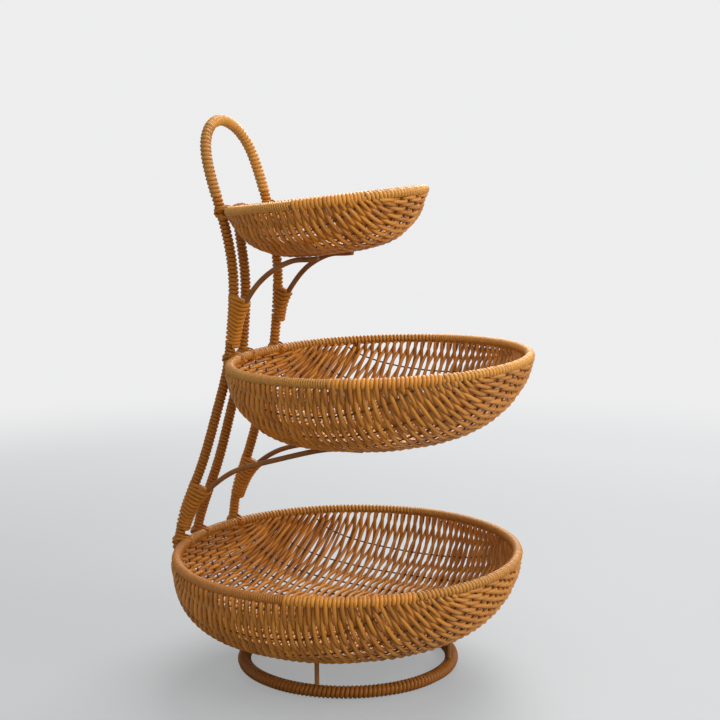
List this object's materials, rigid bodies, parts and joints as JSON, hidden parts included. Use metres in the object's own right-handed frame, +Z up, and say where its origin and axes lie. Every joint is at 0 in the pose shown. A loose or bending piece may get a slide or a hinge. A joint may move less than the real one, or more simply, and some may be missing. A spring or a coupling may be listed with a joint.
{
  "type": "tiered fruit rack",
  "caption": "Free-standing tiered fruit rack: round woven bowls stacked in decreasing size on wound wire posts that bend over into a carrying handle, on a ring foot.",
  "frame": {"origin": "centre of the rack's footprint on the surface it stands on", "axes": "+Z up, front of the rack towards -Y, posts and handle at the back (+Y), +X to the right seen from the front"},
  "size_m": [0.3048, 0.3268, 0.4753],
  "materials": {
    "woven_strand": "satin honey-brown extruded weaving strand",
    "wound_strand": "satin honey-brown extruded strand, close wound",
    "lacquered_rib": "brown lacquer on thin wire",
    "lacquered_steel": "brown lacquer on steel wire"
  },
  "bodies": {
    "root": {"bottom_bowl_weave": "woven_strand", "bottom_rib_01": "lacquered_rib", "bottom_rib_02": "lacquered_rib", "bottom_rib_03": "lacquered_rib", "bottom_rib_04": "lacquered_rib", "bottom_rib_05": "lacquered_rib", "bottom_rib_06": "lacquered_rib", "bottom_rib_07": "lacquered_rib", "bottom_rib_08": "lacquered_rib", "bottom_rib_09": "lacquered_rib", "bottom_rib_10": "lacquered_rib", "bottom_rib_11": "lacquered_rib", "bottom_rim_hoop": "lacquered_steel", "bottom_rim_winding": "wound_strand", "foot_hoop": "lacquered_steel", "foot_strut_1": "lacquered_steel", "foot_strut_2": "lacquered_steel", "foot_strut_3": "lacquered_steel", "foot_strut_4": "lacquered_steel", "foot_winding": "wound_strand", "handle_winding": "wound_strand", "handle_wire": "lacquered_steel", "left_post_lower_winding": "wound_strand", "left_post_middle_winding": "wound_strand", "left_post_upper_winding": "wound_strand", "middle_bowl_weave": "woven_strand", "middle_bracket_left": "lacquered_steel", "middle_bracket_right": "lacquered_steel", "middle_lashing_left": "wound_strand", "middle_lashing_right": "wound_strand", "middle_post_winding": "wound_strand", "middle_post_wire": "lacquered_steel", "middle_rib_01": "lacquered_rib", "middle_rib_02": "lacquered_rib", "middle_rib_03": "lacquered_rib", "middle_rib_04": "lacquered_rib", "middle_rib_05": "lacquered_rib", "middle_rib_06": "lacquered_rib", "middle_rib_07": "lacquered_rib", "middle_rib_08": "lacquered_rib", "middle_rib_09": "lacquered_rib", "middle_rim_hoop": "lacquered_steel", "middle_rim_winding": "wound_strand", "right_post_lower_winding": "wound_strand", "right_post_middle_winding": "wound_strand", "right_post_upper_winding": "wound_strand", "top_bowl_weave": "woven_strand", "top_bracket_left": "lacquered_steel", "top_bracket_right": "lacquered_steel", "top_lashing_left": "wound_strand", "top_lashing_right": "wound_strand", "top_rib_01": "lacquered_rib", "top_rib_02": "lacquered_rib", "top_rib_03": "lacquered_rib", "top_rib_04": "lacquered_rib", "top_rib_05": "lacquered_rib", "top_rib_06": "lacquered_rib", "top_rib_07": "lacquered_rib", "top_rim_hoop": "lacquered_steel", "top_rim_winding": "wound_strand"}
  },
  "joints": []
}
